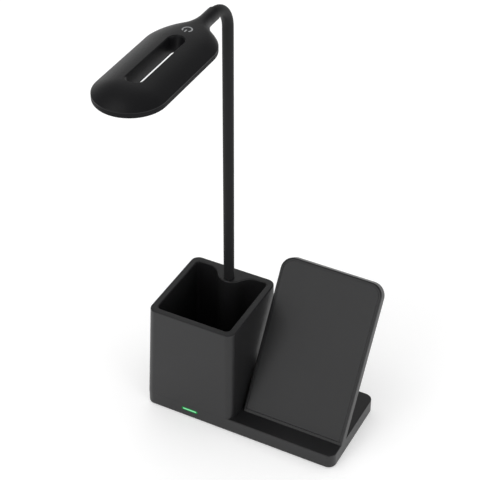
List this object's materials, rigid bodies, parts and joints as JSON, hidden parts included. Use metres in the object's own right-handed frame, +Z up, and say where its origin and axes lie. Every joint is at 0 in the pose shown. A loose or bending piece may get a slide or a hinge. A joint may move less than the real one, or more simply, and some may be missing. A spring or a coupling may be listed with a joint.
{
  "type": "desk lamp",
  "caption": "Gooseneck LED desk lamp on a flat base with an open pen cup and an inclined wireless charging stand for a phone.",
  "frame": {"origin": "middle of the anti-slip pad's underside, on the desk", "axes": "+Z up, front towards -Y, pen cup at -X and phone stand at +X"},
  "size_m": [0.14, 0.1541, 0.298],
  "materials": {
    "casing": "fine moulded texture",
    "sleeve": "matt silicone",
    "pad": "matt",
    "bezel": "fine moulded texture",
    "milk": "translucent satin",
    "hose": "wound strip",
    "steel": "zinc plated",
    "brass": "turned",
    "copper": "enamelled wire",
    "ferrite": "matt",
    "board": "solder resist",
    "chips": "moulded",
    "window": "clear, lit green",
    "lamp": "phosphor"
  },
  "bodies": {
    "base": {"housing": "casing", "bottom_cover": "casing", "antislip_pad": "pad", "cover_screws": "steel", "ballast_plate": "steel", "control_board": "board", "board_parts": "chips", "usb_socket": "steel", "indicator_window": "window", "charging_panel": "casing", "charging_coil": "copper", "ferrite_sheet": "ferrite", "charger_board": "board", "panel_screws": "steel", "neck_ferrule": "brass", "neck_nut": "steel", "hose_root": "hose", "sleeve_root": "sleeve"},
    "neck_1": {"hose_1": "hose", "sleeve_1": "sleeve"},
    "neck_2": {"hose_2": "hose", "sleeve_2": "sleeve"},
    "neck_3": {"hose_3": "hose", "sleeve_3": "sleeve"},
    "neck_4": {"hose_4": "hose", "sleeve_4": "sleeve"},
    "head": {"hose_head": "hose", "sleeve_head": "sleeve", "head_shell": "casing", "head_bezel": "bezel", "diffuser": "milk", "led_board": "board", "leds": "lamp", "touch_board": "board", "head_screws": "steel", "head_bush": "brass"}
  },
  "joints": [
    {"name": "neck_bow", "type": "hinge", "parent": "base", "child": "neck_1", "pos_m": [-0.035, 0.0218, 0.11062], "axis": [1, 0, 0], "range_deg": [-15, 20]},
    {"name": "neck_lean", "type": "hinge", "parent": "neck_1", "child": "neck_2", "pos_m": [-0.035, 0.0218, 0.15566], "axis": [0, 1, 0], "range_deg": [-20, 20]},
    {"name": "neck_bow_upper", "type": "hinge", "parent": "neck_2", "child": "neck_3", "pos_m": [-0.035, 0.0218, 0.20069], "axis": [1, 0, 0], "range_deg": [-15, 20]},
    {"name": "neck_lean_upper", "type": "hinge", "parent": "neck_3", "child": "neck_4", "pos_m": [-0.035, 0.0218, 0.24573], "axis": [0, 1, 0], "range_deg": [-20, 20]},
    {"name": "head_tilt", "type": "hinge", "parent": "neck_4", "child": "head", "pos_m": [-0.035, 0.0167, 0.2873], "axis": [1, 0, 0], "range_deg": [-30, 30]}
  ],
  "couplings": [
    {"joint": "neck_bow_upper", "follows": "neck_bow", "ratio": 1},
    {"joint": "neck_lean_upper", "follows": "neck_lean", "ratio": 1}
  ]
}
